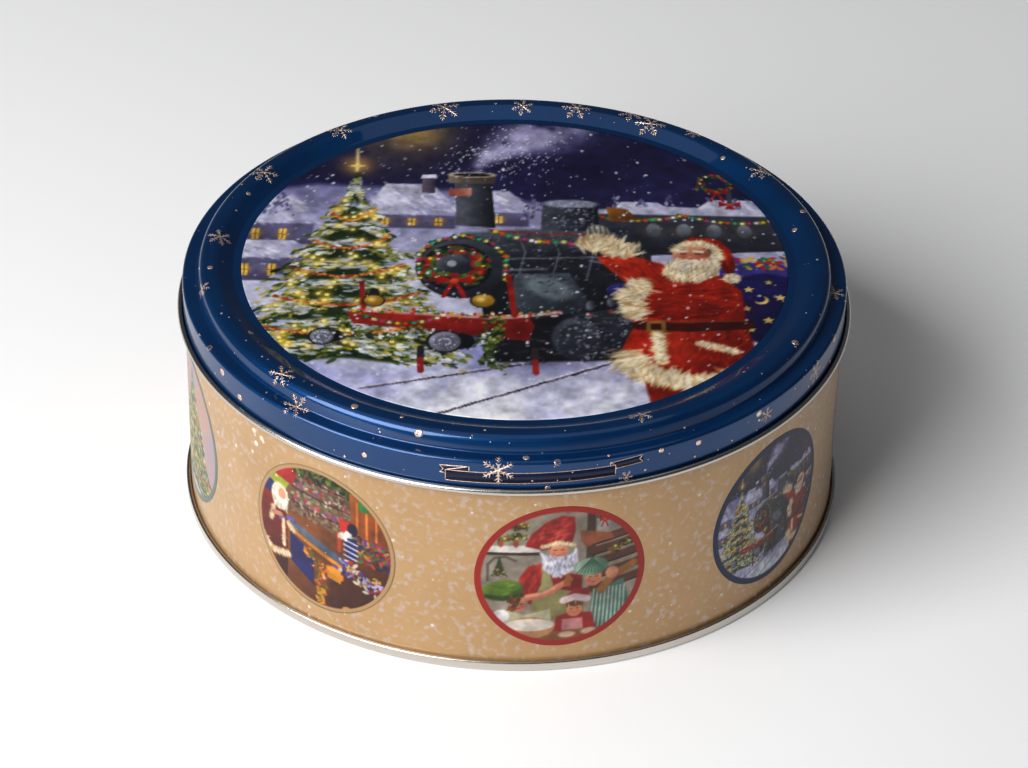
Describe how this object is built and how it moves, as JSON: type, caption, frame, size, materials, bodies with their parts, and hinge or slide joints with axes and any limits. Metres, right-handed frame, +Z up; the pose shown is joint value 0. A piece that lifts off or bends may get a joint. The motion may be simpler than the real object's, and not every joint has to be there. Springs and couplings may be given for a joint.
{
  "type": "round biscuit tin",
  "caption": "Round tinplate biscuit tin: rolled wall with curled mouth, seamed base and slip-on drawn lid with a raised bead round its flat panel.",
  "frame": {"origin": "centre of the base seam's foot, on the surface that the tin stands on", "axes": "+Z up along the tin's round axis, the way the lid lifts; +Y towards the lock seam at the back, -Y towards the viewer of the lid's picture"},
  "size_m": [0.198, 0.198, 0.0764],
  "materials": {
    "printed_wall": "gloss",
    "bare_tinplate": "satin",
    "printed_lid": "gloss"
  },
  "bodies": {
    "tin_body": {"body_wall": "printed_wall", "base": "bare_tinplate"},
    "lid": {"lid": "printed_lid"}
  },
  "joints": [
    {"name": "lid_lift", "type": "slide", "parent": "tin_body", "child": "lid", "axis": [0, 0, 1], "range_m": [0, 0.1]}
  ]
}
